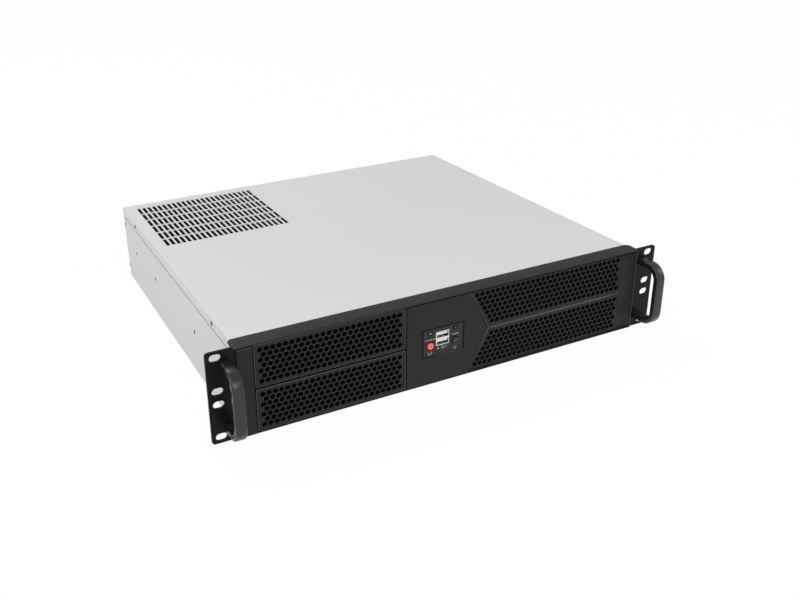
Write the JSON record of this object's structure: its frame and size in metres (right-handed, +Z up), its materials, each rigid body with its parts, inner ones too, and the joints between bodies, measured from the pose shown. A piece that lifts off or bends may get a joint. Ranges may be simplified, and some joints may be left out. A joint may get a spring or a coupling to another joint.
{
  "type": "rackmount server case",
  "caption": "Short-depth rackmount server case with a vented steel cover, perforated black bezel, drive bay covers, front handles and a control insert.",
  "frame": {"origin": "bottom centre of the whole case, handles included, on the surface it stands on", "axes": "+X to the right across the rack seen from the front, +Y from the front bezel to the rear panel, +Z up"},
  "size_m": [0.4826, 0.4206, 0.0881],
  "materials": {
    "case_steel": "pale grey coated sheet, satin",
    "black_steel": "fine black powder coat",
    "bezel_plastic": "moulded plastic, fine grain",
    "handle_plastic": "moulded plastic, satin",
    "insert_plastic": "moulded plastic, fine grain",
    "red_button": "satin translucent red",
    "black_button": "satin",
    "green_lens": "moulded lens",
    "amber_lens": "moulded lens",
    "socket_shell": "plated shell",
    "socket_plastic": "moulded insulator",
    "board_laminate": "solder mask",
    "switch_plastic": "moulded",
    "bright_steel": "zinc coated sheet",
    "fastener_steel": "zinc coated",
    "standoff_brass": "turned"
  },
  "bodies": {
    "case": {"chassis_tray": "case_steel", "top_cover": "case_steel", "rear_panel": "case_steel", "slot_covers": "bright_steel", "slot_clamp": "bright_steel", "slot_screws": "fastener_steel", "cage_screws": "fastener_steel", "cover_screws": "fastener_steel", "corner_rivets": "fastener_steel", "handle_screws": "fastener_steel", "front_plate": "black_steel", "front_bezel": "bezel_plastic", "upper_bay_cover": "bezel_plastic", "lower_bay_cover": "bezel_plastic", "left_handle": "handle_plastic", "right_handle": "handle_plastic", "control_plate": "insert_plastic", "power_led": "green_lens", "drive_led": "amber_lens", "usb_shell": "socket_shell", "usb_tongues": "socket_plastic", "control_board": "board_laminate", "control_switches": "switch_plastic", "drive_cage": "bright_steel", "fan_bracket": "bright_steel", "psu_stop": "bright_steel", "standoffs": "standoff_brass"},
    "power_button": {"power_button": "red_button"},
    "reset_button": {"reset_button": "black_button"}
  },
  "joints": [
    {"name": "power_button_press", "type": "slide", "parent": "case", "child": "power_button", "axis": [0, 1, 0], "range_m": [0, 0.001], "stiffness_N_per_m": 300, "springref_m": -0.0003},
    {"name": "reset_button_press", "type": "slide", "parent": "case", "child": "reset_button", "axis": [0, 1, 0], "range_m": [0, 0.001], "stiffness_N_per_m": 300, "springref_m": -0.0003}
  ]
}
